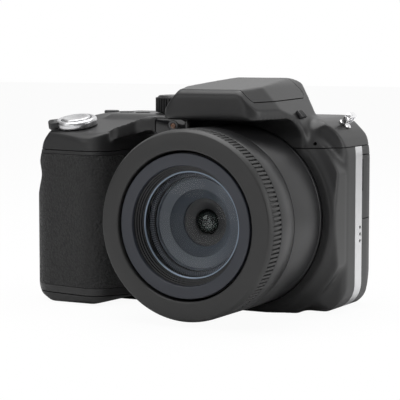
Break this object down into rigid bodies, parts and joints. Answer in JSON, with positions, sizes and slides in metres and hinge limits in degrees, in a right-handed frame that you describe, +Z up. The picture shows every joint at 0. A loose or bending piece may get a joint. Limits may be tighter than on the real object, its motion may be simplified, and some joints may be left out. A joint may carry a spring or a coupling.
{
  "type": "bridge camera",
  "caption": "Bridge camera with a telescopic zoom lens, pop-up flash over the lens, deep rubber hand grip, mode dial, rear display and a tripod socket in its base.",
  "frame": {"origin": "centre of the tripod socket's mouth, on the base plane", "axes": "+Z up, -Y the way the lens looks, +X to the right of someone who faces the lens"},
  "size_m": [0.1218, 0.0852, 0.0838],
  "materials": {
    "shell": "satin",
    "rubber": "grained",
    "barrel": "satin",
    "dark": "matte",
    "silver": "satin",
    "steel": "bright",
    "bezel": "satin anodised",
    "cone": "satin anodised",
    "glass": "coated",
    "window": "gloss",
    "clear": "prismatic",
    "board": "solder mask",
    "grey": "satin",
    "cell": "printed sleeve"
  },
  "bodies": {
    "camera_body": {"front_cover": "shell", "rear_cover": "shell", "top_cover": "shell", "grip_base": "shell", "grip_skin": "rubber", "thumb_rest": "rubber", "side_trim": "silver", "port_block": "grey", "case_screws": "steel", "strap_lugs": "steel", "tripod_socket": "steel", "barrel_base": "barrel", "barrel_front": "barrel", "rib_band": "dark", "front_ring": "barrel", "lens_chassis": "dark", "zoom_motor": "steel", "guide_rods": "steel", "image_sensor": "board", "main_board": "board", "display_panel": "grey", "display_window": "window", "battery": "cell", "battery_box": "dark", "door_pin": "steel", "flash_pin": "steel", "focus_lamp": "clear", "lamp_window": "window"},
    "cam_ring": {"cam_ring": "dark"},
    "zoom_pinion": {"zoom_pinion": "clear"},
    "outer_tube": {"outer_tube": "barrel"},
    "inner_tube": {"inner_tube": "barrel", "lens_bezel": "bezel", "front_glass": "glass", "baffle_ring": "dark", "inner_cone": "cone", "iris_unit": "dark", "second_glass": "glass"},
    "focus_group": {"focus_cell": "dark", "focus_glass": "glass"},
    "flash_lid": {"flash_lid": "shell", "flash_lamp": "silver", "flash_window": "clear"},
    "flash_switch": {"flash_switch": "dark"},
    "shutter_button": {"shutter_button": "grey"},
    "zoom_lever": {"zoom_lever": "silver"},
    "mode_dial": {"mode_dial": "dark"},
    "power_button": {"power_button": "shell"},
    "burst_button": {"burst_button": "shell"},
    "record_button": {"record_button": "grey"},
    "menu_button": {"menu_button": "shell"},
    "play_button": {"play_button": "shell"},
    "info_button": {"info_button": "shell"},
    "delete_button": {"delete_button": "shell"},
    "ok_button": {"ok_button": "shell"},
    "pad_gimbal": {"pad_gimbal": "grey"},
    "direction_pad": {"direction_pad": "shell"},
    "battery_door": {"battery_door": "shell"},
    "door_latch": {"door_latch": "shell"},
    "port_door": {"port_door": "shell"}
  },
  "joints": [
    {"name": "cam_turn", "type": "hinge", "parent": "camera_body", "child": "cam_ring", "pos_m": [0, -0.02, 0.0345], "axis": [0, -1, 0], "range_deg": [0, 108]},
    {"name": "pinion_turn", "type": "hinge", "parent": "camera_body", "child": "zoom_pinion", "pos_m": [-0.03162, -0.008, 0.02299], "axis": [0, -1, 0], "range_deg": [-660, 0]},
    {"name": "outer_zoom", "type": "slide", "parent": "camera_body", "child": "outer_tube", "axis": [0, -1, 0], "range_m": [0, 0.0201]},
    {"name": "inner_zoom", "type": "slide", "parent": "outer_tube", "child": "inner_tube", "axis": [0, -1, 0], "range_m": [0, 0.0171]},
    {"name": "focus_travel", "type": "slide", "parent": "camera_body", "child": "focus_group", "axis": [0, -1, 0], "range_m": [-0.0018, 0.0025]},
    {"name": "flash_hinge", "type": "hinge", "parent": "camera_body", "child": "flash_lid", "pos_m": [0, 0.0042, 0.0816], "axis": [-1, 0, 0], "range_deg": [0, 62]},
    {"name": "flash_switch_slide", "type": "slide", "parent": "camera_body", "child": "flash_switch", "axis": [0, 1, 0], "range_m": [0, 0.002], "stiffness_N_per_m": 400},
    {"name": "shutter_press", "type": "slide", "parent": "camera_body", "child": "shutter_button", "axis": [0, 0.2079, -0.9781], "range_m": [0, 0.0012], "stiffness_N_per_m": 600},
    {"name": "zoom_lever_turn", "type": "hinge", "parent": "camera_body", "child": "zoom_lever", "pos_m": [-0.065, -0.021, 0.06554], "axis": [0, -0.2079, 0.9781], "range_deg": [-15, 15], "stiffness_Nm_per_rad": 0.05},
    {"name": "mode_dial_turn", "type": "hinge", "parent": "camera_body", "child": "mode_dial", "pos_m": [-0.035, 0.005, 0.072], "axis": [0, 0, 1], "continuous": true},
    {"name": "power_press", "type": "slide", "parent": "camera_body", "child": "power_button", "axis": [0, 0, -1], "range_m": [0, 0.0006], "stiffness_N_per_m": 400},
    {"name": "burst_press", "type": "slide", "parent": "camera_body", "child": "burst_button", "axis": [0, 0, -1], "range_m": [0, 0.0006], "stiffness_N_per_m": 400},
    {"name": "record_press", "type": "slide", "parent": "camera_body", "child": "record_button", "axis": [0, 0, -1], "range_m": [0, 0.0006], "stiffness_N_per_m": 400},
    {"name": "menu_press", "type": "slide", "parent": "camera_body", "child": "menu_button", "axis": [0, -1, 0], "range_m": [0, 0.0006], "stiffness_N_per_m": 400},
    {"name": "play_press", "type": "slide", "parent": "camera_body", "child": "play_button", "axis": [0, -1, 0], "range_m": [0, 0.0006], "stiffness_N_per_m": 400},
    {"name": "info_press", "type": "slide", "parent": "camera_body", "child": "info_button", "axis": [0, -1, 0], "range_m": [0, 0.0006], "stiffness_N_per_m": 400},
    {"name": "delete_press", "type": "slide", "parent": "camera_body", "child": "delete_button", "axis": [0, -1, 0], "range_m": [0, 0.0006], "stiffness_N_per_m": 400},
    {"name": "ok_press", "type": "slide", "parent": "camera_body", "child": "ok_button", "axis": [0, -1, 0], "range_m": [0, 0.0006], "stiffness_N_per_m": 400},
    {"name": "pad_tilt_up_down", "type": "hinge", "parent": "camera_body", "child": "pad_gimbal", "pos_m": [-0.059, 0.0213, 0.027], "axis": [1, 0, 0], "range_deg": [-2, 2], "stiffness_Nm_per_rad": 0.4},
    {"name": "pad_tilt_left_right", "type": "hinge", "parent": "pad_gimbal", "child": "direction_pad", "pos_m": [-0.059, 0.0213, 0.027], "axis": [0, 0, 1], "range_deg": [-2, 2], "stiffness_Nm_per_rad": 0.4},
    {"name": "battery_door_hinge", "type": "hinge", "parent": "camera_body", "child": "battery_door", "pos_m": [-0.064, 0.0132, 0.0012], "axis": [1, 0, 0], "range_deg": [0, 95]},
    {"name": "door_latch_slide", "type": "slide", "parent": "battery_door", "child": "door_latch", "axis": [0, 1, 0], "range_m": [0, 0.002]},
    {"name": "port_door_hinge", "type": "hinge", "parent": "camera_body", "child": "port_door", "pos_m": [0.0355, 0.0173, 0.0445], "axis": [0, 0, 1], "range_deg": [0, 80]}
  ],
  "couplings": [
    {"joint": "pinion_turn", "follows": "cam_turn", "ratio": -6},
    {"joint": "outer_zoom", "follows": "cam_turn", "m_per_rad": 0.01061},
    {"joint": "inner_zoom", "follows": "cam_turn", "m_per_rad": 0.0090188}
  ]
}
